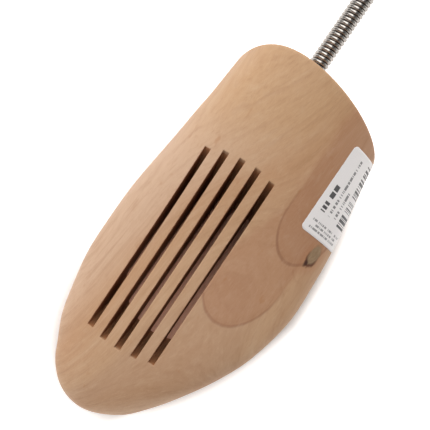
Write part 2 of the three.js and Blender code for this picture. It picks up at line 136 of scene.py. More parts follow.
# ------------------------------------------------------------------ implicit solids
def block_level(x, y, z):
    """0 on the carved skin of the block, negative inside; not yet a distance"""
    d = TOE_X - x
    s = np.sqrt(np.maximum(d, 0.02))
    yi, yo, zc, zw = y_inner(s), y_outer(s), z_crest(s), z_wide(s)
    ni, no = full_in(s), full_out(s)
    half = np.maximum((yo - yi) / 2, 0.05)
    mid = (yo + yi) / 2
    yc = np.clip(CREST_Y, yi + 0.02, yo - 0.02)
    out = y > yc
    w = np.where(out, yo - yc, yc - yi)
    n = np.where(out, no, ni)
    t = np.abs(y - yc) / w
    up = np.maximum(z - zw, 0) / np.maximum(zc - zw, 0.05)
    upper = (t ** n + up ** n) ** (1 / n) - 1
    inset = SOLE_ROUND * half / (SOLE_ROUND + half)
    u = np.maximum((np.abs(y - mid) - (half - inset)) / inset, 0)
    v = np.maximum(zw - z, 0) / np.maximum(zw - sole_z(d), 0.05)
    lower = np.sqrt(u * u + v * v) - 1
    f = np.where(z > zw, upper * np.minimum(w, np.maximum(zc - zw, 0.05)), lower * np.minimum(inset, 12.0))
    return np.where(d < 0.02, np.maximum(f, 0) + (0.02 - d) + 0.01, f)


def knob_level(x, y, z):
    q = np.sqrt(np.maximum(x - KNOB_END_X, 0.0))
    rho = np.hypot(y - SPRING_Y, z - SPRING_Z)
    return np.where(x < KNOB_END_X, rho + (KNOB_END_X - x), rho - knob_r(q))


def as_distance(level, x, y, z, e=0.04):
    f = level(x, y, z)
    gx = (level(x + e, y, z) - level(x - e, y, z)) / (2 * e)
    gy = (level(x, y + e, z) - level(x, y - e, z)) / (2 * e)
    gz = (level(x, y, z + e) - level(x, y, z - e)) / (2 * e)
    return f / np.maximum(np.sqrt(gx * gx + gy * gy + gz * gz), 0.05)


def both(a, b, r):
    """intersection of two solids with the shared edge rounded to radius r"""
    return np.minimum(np.maximum(a, b), -r) + np.hypot(np.maximum(a + r, 0), np.maximum(b + r, 0))


def minus(a, b, r):
    return both(a, -b, r)


def slot_distance(x, y, z, y0, toe, instep):
    c, s = math.cos(SLOT_TURN), math.sin(SLOT_TURN)
    xl = 90 + c * (x - 90) + s * (y - y0)
    yl = -s * (x - 90) + c * (y - y0)
    zt, zi = 31.0, 47.0

    def end(a, run, zend):
        bz = zend - SLOT_FLOOR
        n = SLOT_END_POWER
        u, v = a / run, np.maximum((zend - z) / bz, 0.0)
        e = np.maximum((u ** n + v ** n) ** (1 / n), 1e-3)
        g = np.maximum(np.hypot((u / e) ** (n - 1) / run, (v / e) ** (n - 1) / bz), 1e-3)
        return np.where(z < zend, (e - 1) / g, a - run)

    at, ai = xl - (toe - SLOT_TOE_RUN), (instep + SLOT_INSTEP_RUN) - xl
    p = np.where(at > 0, end(np.maximum(at, 0), SLOT_TOE_RUN, zt),
                 np.where(ai > 0, end(np.maximum(ai, 0), SLOT_INSTEP_RUN, zi), SLOT_FLOOR - z))
    return np.maximum(np.abs(yl) - SLOT_W / 2, p)


def block_cuts(d, x, y, z):
    d = both(d, ((BACK_X0 - BACK_SLOPE * z) - x) / math.hypot(1, BACK_SLOPE), 1.7)
    h = HOLLOW
    px = np.clip(x, h["rear"] + h["r"], h["toe"] - h["r"])
    roof = h["roof_rear"] + (h["roof_toe"] - h["roof_rear"]) * (x - h["rear"]) / (h["toe"] - h["rear"])
    hollow = both(np.hypot(x - px, y - h["y"]) - h["r"], z - roof, 1.2)
    d = minus(d, hollow, 0.9)
    for y0, toe, instep in SLOTS:
        d = minus(d, slot_distance(x, y, z, y0, toe, instep), 0.14)
    bore = np.maximum(np.hypot(y - SPRING_Y, z - SPRING_Z) - BORE_D / 2, x - (BACK_X0 - BACK_SLOPE * SPRING_Z + BORE_DEPTH))
    d = minus(d, bore, 0.6)
    nail = np.hypot(x - FRONT_NAIL_X, y - SPRING_Y)
    d = minus(d, np.maximum(nail - 1.1, z - SPRING_Z), 0.2)
    return minus(d, np.maximum(nail - 2.2, z - 1.2), 0.25)


def knob_cuts(d, x, y, z):
    d = both(d, x - KNOB_FRONT_X, 1.4)
    rho = np.hypot(y - SPRING_Y, z - SPRING_Z)
    bore = np.maximum(rho - BORE_D / 2, KNOB_FRONT_X - BORE_DEPTH - x)
    d = minus(d, bore, 0.6)
    nail = np.hypot(x - REAR_NAIL_X, y - SPRING_Y)
    d = minus(d, np.maximum(nail - 1.1, z - SPRING_Z), 0.2)
    return minus(d, np.maximum(nail - 2.2, z - (SPRING_Z - 22.9 + 1.2)), 0.3)


def axis(lo, hi, h, fine=()):
    """grid lines from lo to hi, h apart, and closer together inside each (from, to, spacing) of fine"""
    out = [lo]
    while out[-1] < hi:
        p = out[-1]
        st = h
        for a, b, f in fine:
            if a - 1e-9 <= p < b:
                st = min(st, f)
            elif p < a < p + st:
                st = max(a - p, f)
        out.append(p + st)
    return np.array(out)


def surface_nets(level, cuts, ax):
    n = [len(a) for a in ax]
    X, Y, Z = np.meshgrid(*ax, indexing="ij")
    F = level(X, Y, Z)
    gx, gy, gz = np.gradient(F, *ax)
    D = F / np.maximum(np.sqrt(gx * gx + gy * gy + gz * gz), 0.05)
    del F, gx, gy, gz
    V = cuts(D, X, Y, Z)
    del D, X, Y, Z
    V[V == 0] = 1e-6
    S = V < 0
    corner = [(i, j, k) for i in (0, 1) for j in (0, 1) for k in (0, 1)]
    sl = lambda c: tuple(slice(c[a], n[a] - 1 + c[a]) for a in range(3))
    cnt = sum(S[sl(c)].astype(np.int8) for c in corner)
    cells = np.argwhere((cnt > 0) & (cnt < 8))
    vals = np.stack([V[cells[:, 0] + c[0], cells[:, 1] + c[1], cells[:, 2] + c[2]] for c in corner], 1)
    acc = np.zeros((len(cells), 3))
    num = np.zeros(len(cells))
    for a in range(8):
        for b in range(a + 1, 8):
            ca, cb = np.array(corner[a]), np.array(corner[b])
            if np.abs(ca - cb).sum() != 1:
                continue
            cross = (vals[:, a] < 0) != (vals[:, b] < 0)
            t = vals[:, a] / np.where(cross, vals[:, a] - vals[:, b], 1)
            acc += np.where(cross[:, None], ca + (cb - ca) * t[:, None], 0)
            num += cross
    rel = acc / num[:, None]
    low = np.stack([ax[i][cells[:, i]] for i in range(3)], 1)
    size = np.stack([ax[i][cells[:, i] + 1] - ax[i][cells[:, i]] for i in range(3)], 1)
    P = low + rel * size
    reach = 0.45 * size.min(1)
    ids = -np.ones([m - 1 for m in n], np.int32)
    ids[cells[:, 0], cells[:, 1], cells[:, 2]] = np.arange(len(cells))
    quads = []
    for a in range(3):
        b, c = (a + 1) % 3, (a + 2) % 3
        s0 = [slice(None)] * 3
        s1 = [slice(None)] * 3
        s0[a], s1[a] = slice(0, n[a] - 1), slice(1, n[a])
        e = np.argwhere(S[tuple(s0)] != S[tuple(s1)])
        e = e[(e[:, b] > 0) & (e[:, c] > 0) & (e[:, b] < n[b] - 1) & (e[:, c] < n[c] - 1)]
        flip = S[e[:, 0], e[:, 1], e[:, 2]]
        q = []
        for db, dc in ((1, 1), (0, 1), (0, 0), (1, 0)):
            o = e.copy()
            o[:, b] -= db
            o[:, c] -= dc
            q.append(ids[o[:, 0], o[:, 1], o[:, 2]])
        q = np.stack(q, 1)
        q[~flip] = q[~flip][:, ::-1]
        quads.append(q)
    Q = np.concatenate(quads)
    # settle every vertex on the exact surface, without leaving its own cell
    total = lambda x, y, z: cuts(as_distance(level, x, y, z), x, y, z)
    e = 0.04
    home = P.copy()
    for _ in range(5):
        x, y, z = P.T
        f = total(x, y, z)
        g = np.stack([total(x + e, y, z) - total(x - e, y, z), total(x, y + e, z) - total(x, y - e, z), total(x, y, z + e) - total(x, y, z - e)], 1) / (2 * e)
        step = f[:, None] * g / np.maximum((g * g).sum(1), 0.25)[:, None]
        ln = np.linalg.norm(step, axis=1)
        step *= np.minimum(1, reach / np.maximum(ln, 1e-9))[:, None]
        P = np.clip(P - step, low - 0.1 * size, low + 1.1 * size)
    return P, Q


def make_object(name, verts_mm, faces, smooth=True):
    me = bpy.data.meshes.new(name)
    me.from_pydata((np.asarray(verts_mm) * MM).tolist(), [], [tuple(int(i) for i in f) for f in faces])
    me.validate()
    me.update()
    ob = bpy.data.objects.new(name, me)
    bpy.context.scene.collection.objects.link(ob)
    if smooth:
        me.polygons.foreach_set("use_smooth", [True] * len(me.polygons))
    return ob


H = 0.66
FINE = 0.2
walls = []
for y0, toe, instep in SLOTS:
    for side in (-1, 1):
        w0 = y0 + side * SLOT_W / 2
        walls.append((w0 - 0.55, w0 + 0.55, FINE))
x_axis = axis(-8.0, TOE_X + 1.5, H, [(14.0, 18.2, FINE * 2), (43.0, 50.5, FINE * 2), (132.0, 140.5, FINE * 2)])
y_axis = axis(-47.0, 47.0, H, walls)
z_axis = axis(-1.6, 61.0, H, [(-0.4, 1.6, FINE * 2)])
P, Q = surface_nets(block_level, block_cuts, (x_axis, y_axis, z_axis))
P[:, 2] = np.maximum(P[:, 2], 0.0)
block = make_object("forepart_block_wood", P, Q)
print("block mesh", len(P), len(Q))
P, Q = surface_nets(knob_level, knob_cuts, (axis(KNOB_END_X - 1.5, KNOB_FRONT_X + 1.5, H, [(KNOB_END_X - 0.5, KNOB_END_X + 1.5, FINE * 2), (KNOB_FRONT_X - 2, KNOB_FRONT_X + 1, FINE * 2)]),
                                            axis(SPRING_Y - 26, SPRING_Y + 26, H), axis(SPRING_Z - 26, SPRING_Z + 26, H)))
knob = make_object("heel_knob_wood", P, Q)


# ------------------------------------------------------------------ coil spring: one wire, cut where it may bend
front_end = BACK_X0 - BACK_SLOPE * SPRING_Z + BORE_DEPTH - 0.4 - WIRE / 2
rear_end = KNOB_FRONT_X - BORE_DEPTH + 0.4 + WIRE / 2
R_COIL = (COIL_OD - WIRE) / 2
extra = OPEN_PITCH - PITCH
q_front = (front_end - FRONT_NAIL_X - extra / 2) / PITCH
turns = (front_end - rear_end - 2 * extra) / PITCH
q_rear = (front_end - REAR_NAIL_X - extra * 1.5) / PITCH
phase = math.pi / 2 + 2 * math.pi * q_front


def wire_centre(q):
    x = front_end - PITCH * q
    for m in (q_front, q_rear):
        s = np.clip(q - m + 0.5, 0, 1)
        x = x - extra * s * s * (3 - 2 * s)
    a = phase - 2 * math.pi * q
    return np.stack([x, R_COIL * np.cos(a) + SPRING_Y, R_COIL * np.sin(a) + SPRING_Z], -1), a


def wire_piece(name, q0, q1, steps, sides, taper0=False, taper1=False):
    count = max(4, int(round((q1 - q0) * steps)))
    q = np.linspace(q0, q1, count + 1)
    c, a = wire_centre(q)
    c2, _ = wire_centre(q + 1e-3)
    c1, _ = wire_centre(q - 1e-3)
    tan = c2 - c1
    tan /= np.linalg.norm(tan, axis=1)[:, None]
    rad = np.stack([np.zeros_like(a), np.cos(a), np.sin(a)], 1)
    nor = rad - (rad * tan).sum(1)[:, None] * tan
    nor /= np.linalg.norm(nor, axis=1)[:, None]
    bi = np.cross(tan, nor)
    th = np.linspace(0, 2 * math.pi, sides, endpoint=False)
    ring = c[:, None, :] + WIRE / 2 * (np.cos(th)[None, :, None] * nor[:, None, :] + np.sin(th)[None, :, None] * bi[:, None, :])
    verts = ring.reshape(-1, 3)
    faces = []
    uvs = []
    for i in range(count):
        for j in range(sides):
            k = (j + 1) % sides
            faces.append((i * sides + j, (i + 1) * sides + j, (i + 1) * sides + k, i * sides + k))
    faces.append(tuple(range(sides)))
    faces.append(tuple(count * sides + j for j in range(sides - 1, -1, -1)))
    ob = make_object(name, verts, faces)
    # flip if the tube is inside out
    me = ob.data
    ctr = c[0] * MM
    p0 = me.polygons[sides * (count // 2)]
    mid = Vector((c[count // 2] * MM).tolist())
    if p0.normal.dot(p0.center - mid) < 0:
        me.flip_normals()
    uv = me.uv_layers.new(name="wire")
    li = np.zeros(len(me.loops), np.int32)
    me.loops.foreach_get("vertex_index", li)
    along = (q[li // sides]) * 2 * math.pi * R_COIL * 0.1
    around = (li % sides) / sides
    uv.data.foreach_set("uv", np.stack([along, around], 1).ravel().astype(np.float32))
    return ob


def q_at(x):
    """turn count at which the wire centre reaches x"""
    lo, hi = 0.0, turns
    for _ in range(50):
        m = (lo + hi) / 2
        if wire_centre(np.array([m]))[0][0, 0] > x:
            lo = m
        else:
            hi = m
    return (lo + hi) / 2


STEPS, SIDES = ((34, 14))
cuts = [BEND_FIRST_X + BEND_STEP * 0.5 - BEND_STEP * k for k in range(BEND_COUNT + 1)]
bodies = ["forepart"] + [f"coil_{i:02d}" for i in range(1, BEND_COUNT)] + ["heel"]
spring_pieces = []
w = wire_piece("coil_spring_wire_root", 0.0, q_at(cuts[0]), 24, 10)
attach(w, "forepart")
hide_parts("coil_spring_root")
spring_pieces.append(w)
for k in range(1, BEND_COUNT + 1):
    w = wire_piece(f"coil_spring_wire_{k:02d}", q_at(cuts[k - 1]), q_at(cuts[k]), STEPS, SIDES)
    ends = [(bodies[i], (cuts[i] * MM, SPRING_Y * MM, SPRING_Z * MM)) for i in (k - 1, k)]
    if k in (4, 11):  # ends reversed to run from the heel side
        ends.reverse()
    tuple(ends[0][1])
    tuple(ends[1][1])
    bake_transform(w)
    if k < BEND_COUNT:
        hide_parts(f"coil_spring_{k:02d}")
    spring_pieces.append(w)
w = wire_piece("coil_spring_wire_tip", q_at(cuts[-1]), turns, 24, 10)
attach(w, "heel")
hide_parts("coil_spring_tip")
spring_pieces.append(w)


# ------------------------------------------------------------------ nails
def lathe_z(name, profile, x, y, sides=36):
    verts, faces = [], []
    rings = []
    for r, z in profile:
        if r < 1e-6:
            rings.append([len(verts)])
            verts.append((x, y, z))
        else:
            rings.append(list(range(len(verts), len(verts) + sides)))
            for i in range(sides):
                a = 2 * math.pi * i / sides
                verts.append((x + r * math.cos(a), y + r * math.sin(a), z))
    for a, b in zip(rings[:-1], rings[1:]):
        for i in range(sides):
            j = (i + 1) % sides
            if len(a) == 1:
                faces.append((a[0], b[j], b[i]))
            elif len(b) == 1:
                faces.append((a[i], a[j], b[0]))
            else:
                faces.append((a[i], a[j], b[j], b[i]))
    return make_object(name, verts, faces)


def nail(name, x, z0, node, body):
    p = [(0, z0), (1.2, z0), (1.6, z0 + 0.06), (1.76, z0 + 0.2), (1.8, z0 + 0.4), (1.78, z0 + 0.68), (1.6, z0 + 0.8), (0.95, z0 + 0.86),
         (0.8, z0 + 1.05), (0.8, 12), (0.8, 23.6), (0.35, 24.8), (0.0, 25.3)]
    o = lathe_z(name, p, x, SPRING_Y)
    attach(o, body)
    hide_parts(node)
    return o


nails = [nail("front_nail_steel", FRONT_NAIL_X, 0.2, "front_nail", "forepart"),
         nail("rear_nail_steel", REAR_NAIL_X, SPRING_Z - 22.9 + 0.2, "rear_nail", "heel")]


# ------------------------------------------------------------------ paper label that follows the outer side
def make_label():
    L, Hh, r = LABEL_X1 - LABEL_X0, LABEL_H, 2.0
    rows = []
    ts = sorted(set([0, 0.08, 0.25, 0.5, 0.8, 1.15, 1.55, 2.0] + [Hh - v for v in (0, 0.08, 0.25, 0.5, 0.8, 1.15, 1.55, 2.0)] + list(np.linspace(2.0, Hh - 2.0, 26))))
    NX = 48
    lines = {}

    def at(x, t):
        key = round(x, 4)
        if key not in lines:
            pts = np.array([section_point(TOE_X - x, a) for a in np.linspace(0, 2, 1201)])
            st = int(np.argmax(pts[:, 0] >= LABEL_TOP_Y))
            pts = pts[st:]
            ln = np.concatenate([[0], np.cumsum(np.hypot(*np.diff(pts, axis=0).T))])
            lines[key] = (pts, ln)
        pts, ln = lines[key]
        y = np.interp(t, ln, pts[:, 0])
        z = np.interp(t, ln, pts[:, 1])
        y2 = np.interp(t + 0.2, ln, pts[:, 0]) - np.interp(max(t - 0.2, 0), ln, pts[:, 0])
        z2 = np.interp(t + 0.2, ln, pts[:, 1]) - np.interp(max(t - 0.2, 0), ln, pts[:, 1])
        l = math.hypot(y2, z2)
        return y, z, -z2 / l, y2 / l

    top, bot, st = [], [], []
    for t in ts:
        dd = min(t, Hh - t)
        ins = r - math.sqrt(max(r * r - (r - dd) ** 2, 0)) if dd < r else 0
        for i in range(NX + 1):
            x = LABEL_X0 + ins + (L - 2 * ins) * i / NX
            y, z, ny, nz = at(x, t)
            if nz < 0 and abs(ny) < 1e-6:
                nz = -nz
            top.append((x, y + ny * 0.19, z + nz * 0.19))
            bot.append((x, y + ny * 0.05, z + nz * 0.05))
            st.append(((x - LABEL_X0) / L, t / Hh))
    row = NX + 1
    n = len(top)
    faces, rim = [], []
    for j in range(len(ts) - 1):
        for i in range(NX):
            a = j * row + i
            faces.append((a, a + 1, a + row + 1, a + row))
            faces.append((a + n, a + row + n, a + row + 1 + n, a + 1 + n))
    J = len(ts) - 1
    rim += [i for i in range(NX)] + [j * row + NX for j in range(J)] + [J * row + i for i in range(NX, 0, -1)] + [j * row for j in range(J, 0, -1)]
    for a, b in zip(rim, rim[1:] + rim[:1]):
        faces.append((b, a, a + n, b + n))
    ob = make_object("paper_label", top + bot, faces)
    me = ob.data
    p0 = me.polygons[(len(ts) // 2) * NX * 2]
    if p0.normal.y < 0:
        me.flip_normals()
    uv = me.uv_layers.new(name="print")
    li = np.zeros(len(me.loops), np.int32)
    me.loops.foreach_get("vertex_index", li)
    st = np.array(st + st, np.float32)
    uv.data.foreach_set("uv", st[li].ravel())
    return ob


label = make_label()


# ------------------------------------------------------------------ materials
def srgb(r, g, b):
    f = lambda c: c / 12.92 if c <= 0.04045 else ((c + 0.055) / 1.055) ** 2.4
    return (f(r / 255), f(g / 255), f(b / 255), 1.0)


class Nodes:
    def __init__(self, name):
        self.mat = bpy.data.materials.new(name)
        self.mat.use_nodes = True
        self.nt = self.mat.node_tree
        self.nt.nodes.clear()
        self.out = self.nt.nodes.new("ShaderNodeOutputMaterial")
        self.bsdf = self.nt.nodes.new("ShaderNodeBsdfPrincipled")
        self.nt.links.new(self.bsdf.outputs[0], self.out.inputs[0])

    def put(self, socket, v):
        if isinstance(v, bpy.types.NodeSocket):
            self.nt.links.new(v, socket)
        elif v is not None:
            socket.default_value = v

    def new(self, kind, **props):
        n = self.nt.nodes.new(kind)
        for k, v in props.items():
            setattr(n, k, v)
        return n

    def math(self, op, a, b=None, c=None, clamp=False):
        n = self.new("ShaderNodeMath", operation=op, use_clamp=clamp)
        self.put(n.inputs[0], a)
        self.put(n.inputs[1], b)
        self.put(n.inputs[2], c)
        return n.outputs[0]

    def add(self, a, b): return self.math("ADD", a, b)
    def sub(self, a, b): return self.math("SUBTRACT", a, b)
    def mul(self, a, b): return self.math("MULTIPLY", a, b)
    def hypot(self, a, b): return self.math("SQRT", self.add(self.mul(a, a), self.mul(b, b)))

    def step(self, v, lo, hi, a=0.0, b=1.0):
        n = self.new("ShaderNodeMapRange", interpolation_type="SMOOTHSTEP")
        self.put(n.inputs["Value"], v)
        n.inputs["From Min"].default_value = lo
        n.inputs["From Max"].default_value = hi
        n.inputs["To Min"].default_value = a
        n.inputs["To Max"].default_value = b
        return n.outputs[0]

    def vec(self, x, y, z):
        n = self.new("ShaderNodeCombineXYZ")
        for i, v in enumerate((x, y, z)):
            self.put(n.inputs[i], v)
        return n.outputs[0]

    def noise(self, vec, scale=1.0, detail=2.0, rough=0.5, dist=0.0):
        n = self.new("ShaderNodeTexNoise")
        self.put(n.inputs["Vector"], vec)
        n.inputs["Scale"].default_value = scale
        n.inputs["Detail"].default_value = detail
        n.inputs["Roughness"].default_value = rough
        n.inputs["Distortion"].default_value = dist
        return n.outputs["Fac"]

    def mix(self, fac, a, b, mode="MIX"):
        n = self.new("ShaderNodeMix", data_type="RGBA", blend_type=mode)
        self.put(n.inputs[0], fac)
        self.put(n.inputs[6], a)
        self.put(n.inputs[7], b)
        return n.outputs[2]

    def mm(self):
        """object position in millimetres, as three values"""
        tc = self.new("ShaderNodeTexCoord")
        sc = self.new("ShaderNodeVectorMath", operation="SCALE")
        self.nt.links.new(tc.outputs["Object"], sc.inputs[0])
        sc.inputs["Scale"].default_value = 1000.0
        sep = self.new("ShaderNodeSeparateXYZ")
        self.nt.links.new(sc.outputs[0], sep.inputs[0])
        return sep.outputs[0], sep.outputs[1], sep.outputs[2], sc.outputs[0]

    def bump(self, height, strength, distance):
        n = self.new("ShaderNodeBump")
        n.inputs["Strength"].default_value = strength
        n.inputs["Distance"].default_value = distance
        self.put(n.inputs["Height"], height)
        self.nt.links.new(n.outputs[0], self.bsdf.inputs["Normal"])


def birch(name, pith_y=11.0, pith_z=-1.0, seed=0.0, figure=True, tone=1.0):
    """birch with rings about a pith that runs along X; figure adds the flame and the knot of the outer side, and the
    painted shade inside the slots
    """
    n = Nodes(name)
    x, y, z, p = n.mm()
    xs, ys, zs = n.add(x, seed * 37.0), n.add(y, seed * 11.0), n.add(z, seed * 17.0)
    wob = n.noise(n.vec(n.mul(xs, 0.016), n.mul(ys, 0.035), n.mul(zs, 0.035)), 1.0, 2.0, 0.5)
    wob2 = n.noise(n.vec(n.mul(xs, 0.06), n.mul(ys, 0.13), n.mul(zs, 0.13)), 1.0, 3.0, 0.55)
    radius = n.hypot(n.sub(y, pith_y), n.sub(z, pith_z))
    ring = radius
    ring = n.add(ring, n.mul(n.sub(wob, 0.5), 3.2))
    ring = n.add(ring, n.mul(n.sub(wob2, 0.5), 0.5))
    if figure:
        kx, ky, kz = n.sub(x, 59.6), n.sub(y, 37.0), n.sub(z, 27.6)
        kd = n.hypot(n.mul(kx, 0.55), n.hypot(ky, kz))
        ring = n.add(ring, n.mul(n.step(kd, 12.0, 1.0), 5.0))
    # thin late wood lines, uneven in spacing and strength
    even = n.add(ring, n.mul(n.sub(wob, 0.5), 4.0))
    fr = n.math("FRACT", n.mul(even, 1 / 3.7))
    line = n.mul(n.step(fr, 0.74, 0.93), n.step(fr, 1.0, 0.945))
    fr2 = n.math("FRACT", n.mul(n.add(even, n.mul(wob2, 3.0)), 1 / 1.45))
    line2 = n.mul(n.step(fr2, 0.55, 0.9), n.step(fr2, 1.0, 0.92))
    # fibres run along X and stay inside their ring
    lay = n.add(radius, n.mul(n.sub(wob, 0.5), 2.0))
    streak = n.noise(n.vec(n.mul(xs, 0.010), n.mul(lay, 0.62), n.mul(ys, 0.10)), 1.0, 3.0, 0.62)
    thread = n.noise(n.vec(n.mul(xs, 0.020), n.mul(lay, 2.4), n.mul(ys, 0.50)), 1.0, 2.0, 0.6)
    fine = n.noise(n.vec(n.mul(xs, 0.11), n.mul(ys, 2.1), n.mul(zs, 2.1)), 1.0, 3.0, 0.6)
    pores = n.noise(n.vec(n.mul(xs, 0.32), n.mul(ys, 4.2), n.mul(zs, 4.2)), 1.0, 1.0, 0.5)
    patch = n.noise(n.vec(n.mul(xs, 0.020), n.mul(ys, 0.040), n.mul(zs, 0.040)), 1.0, 2.0, 0.5)
    mottle = n.noise(n.vec(n.mul(xs, 0.14), n.mul(ys, 0.26), n.mul(zs, 0.26)), 1.0, 3.0, 0.6)
    # tone by ring, from the pith outward
    bands = ((20.0, (194, 158, 128)), (26.0, (178, 139, 107)), (29.5, (180, 143, 113)), (32.5, (180, 144, 114)), (35.5, (186, 149, 116)),
             (46.0, (184, 143, 109)), (54.0, (198, 164, 137)), (62.0, (200, 168, 142)))
    band = n.new("ShaderNodeValToRGB")
    n.put(band.inputs[0], n.math("MULTIPLY", n.add(ring, n.mul(n.sub(patch, 0.5), 5.0)), 1 / 100.0))
    stops = band.color_ramp.elements
    for i, (r, c) in enumerate(bands):
        e = stops[i] if i < 2 else stops.new(r / 100.0)
        e.position, e.color = r / 100.0, srgb(*(v * tone for v in c))
    col = band.outputs[0] if figure else n.mix(n.step(patch, 0.36, 0.66), srgb(180 * tone, 148 * tone, 122 * tone), srgb(171 * tone, 135 * tone, 106 * tone))
    # yellower tone away from the pith; on the forepart only toward the heel end
    yellow_tone = n.mul(n.step(ring, 42.0, 54.0), n.step(x, 62.0, 20.0)) if figure else n.step(ring, 30.0, 44.0)
    col = n.mix(n.mul(yellow_tone, 0.62), col, srgb(184, 143, 99))
    col = n.mix(n.mul(n.step(streak, 0.50, 0.72), 0.26), col, srgb(156, 115, 80))
    col = n.mix(n.mul(n.step(streak, 0.48, 0.28), 0.26), col, srgb(200, 170, 141))
    col = n.mix(n.mul(n.step(thread, 0.52, 0.74), 0.16), col, srgb(150, 104, 68))
    col = n.mix(n.mul(n.step(thread, 0.46, 0.28), 0.12), col, srgb(214, 184, 154))
    if figure:
        # the flame: a loop that comes to a blunt end ahead of the knot, with a second one nested in it
        high = n.step(z, 9.0, 16.0)
        shake = n.mul(n.sub(wob2, 0.5), 0.07)
        d1 = n.add(n.hypot(n.mul(n.math("MAXIMUM", n.sub(x, 78.0), 0.0), 1 / 28.3), n.mul(n.sub(y, 18.5), 1 / 16.8)), shake)
        rise = n.sub(n.add(y, n.mul(n.sub(mottle, 0.5), 5.0)), n.step(x, 42.0, 92.0, 15.5, 4.0))
        flame = n.mul(n.mul(n.step(d1, 1.01, 0.97), n.step(rise, -1.5, 3.0)), high)
        col = n.mix(n.mul(flame, 0.50), col, srgb(166, 118, 88))
        nest = n.math("FRACT", n.mul(n.add(d1, n.mul(n.sub(wob2, 0.5), 0.22)), 5.2))
        nest = n.mul(n.mul(n.step(nest, 0.35, 0.85), n.step(nest, 1.0, 0.88)), n.mul(flame, n.step(d1, 0.35, 0.85)))
        col = n.mix(n.mul(nest, n.step(mottle, 0.40, 0.62, 0.02, 0.14)), col, srgb(142, 94, 68))
        d2 = n.add(n.hypot(n.mul(n.math("MAXIMUM", n.sub(x, 50.0), 0.0), 1 / 19.3), n.mul(n.sub(y, 28.6), 1 / 11.8)), shake)
        inner = n.mul(n.mul(n.step(d2, 1.01, 0.95), n.step(x, 6.0, 40.0)), high)
        col = n.mix(n.mul(inner, 0.24), col, srgb(150, 102, 74))
        rim1 = n.mul(n.step(d1, 0.955, 0.985), n.step(d1, 1.035, 1.0))
        rim1 = n.mul(n.mul(rim1, n.step(x, 76.0, 92.0)), n.mul(n.step(rise, 0.0, 4.0), high))
        col = n.mix(n.mul(rim1, 0.42), col, srgb(132, 84, 62))
        rim2 = n.mul(n.step(d2, 0.93, 0.98), n.step(d2, 1.05, 1.0))
        rim2 = n.mul(n.mul(rim2, n.step(x, 36.0, 52.0)), high)
        col = n.mix(n.mul(rim2, n.step(wob2, 0.35, 0.6, 0.26, 0.46)), col, srgb(118, 72, 52))
    col = n.mix(n.mul(n.mul(line, n.step(wob2, 0.36, 0.62)), 0.13), col, srgb(140, 90, 60))
    col = n.mix(n.mul(n.mul(line2, n.step(patch, 0.42, 0.6)), 0.06), col, srgb(140, 90, 60))
    col = n.mix(n.mul(n.step(mottle, 0.50, 0.74), 0.12), col, srgb(160, 114, 78))
    col = n.mix(n.mul(n.step(mottle, 0.46, 0.28), 0.10), col, srgb(202, 174, 148))
    col = n.mix(n.mul(n.step(fine, 0.52, 0.76), 0.14), col, srgb(148, 102, 70))
    col = n.mix(n.mul(n.step(fine, 0.46, 0.26), 0.10), col, srgb(216, 188, 160))
    col = n.mix(n.mul(n.step(pores, 0.64, 0.78), 0.16), col, srgb(122, 80, 54))
    # small amber flecks
    fleck = n.noise(n.vec(n.mul(xs, 0.10), n.mul(ys, 0.20), n.mul(zs, 0.20)), 1.0, 2.0, 0.6)
    col = n.mix(n.mul(n.step(fleck, 0.665, 0.76), 0.32), col, srgb(164, 108, 62))
    if figure:
        # painted shade and warm bounce light: the walls of the slots are painted a darker, redder brown
        cut = None
        for y0, toe, instep in SLOTS:
            off = n.math("ABSOLUTE", n.sub(n.sub(y, y0), n.mul(n.sub(x, 90.0), math.tan(SLOT_TURN))))
            painted_slot_shade = n.mul(n.math("LESS_THAN", off, SLOT_W / 2 + 0.06), n.math("LESS_THAN", n.math("ABSOLUTE", n.sub(x, (toe + instep) / 2)), (toe - instep) / 2 - 1.0))
            cut = painted_slot_shade if cut is None else n.math("MAXIMUM", cut, painted_slot_shade)
        col = n.mix(n.mul(cut, 0.75), col, srgb(172, 116, 76))
    if figure:
        kn = n.noise(n.vec(n.mul(x, 0.35), n.mul(y, 0.8), n.mul(z, 0.8)), 1.0, 3.0, 0.6)
        kdn = n.add(kd, n.mul(n.sub(kn, 0.5), 1.6))
        col = n.mix(n.mul(n.step(kdn, 7.5, 2.4), 0.45), col, srgb(166, 114, 80))
        col = n.mix(n.mul(n.step(kdn, 3.1, 2.3), 0.85), col, n.mix(kn, srgb(112, 88, 62), srgb(164, 141, 110)))
        rim = n.mul(n.step(kdn, 2.0, 2.7), n.step(kdn, 3.7, 2.9))
        col = n.mix(n.mul(rim, n.step(kx, -2.0, 4.2, 0.10, 0.85)), col, srgb(84, 44, 28))
        cd = n.hypot(n.mul(n.sub(x, 64.5), 0.62), n.hypot(n.mul(n.sub(y, 35.8), 1.25), n.mul(n.sub(z, 28.0), 0.7)))
        col = n.mix(n.mul(n.step(n.add(cd, n.mul(n.sub(kn, 0.5), 1.6)), 1.5, 0.6), 0.85), col, srgb(58, 30, 20))
    n.put(n.bsdf.inputs["Base Color"], col)
    rough = n.add(0.50, n.mul(fine, 0.16))
    n.put(n.bsdf.inputs["Roughness"], rough)
    n.bsdf.inputs["Specular IOR Level"].default_value = 0.32
    n.bsdf.inputs["IOR"].default_value = 1.45
    n.bump(n.add(n.mul(fine, 0.6), n.mul(pores, 0.5)), 0.25, 0.00012)
    return n.mat


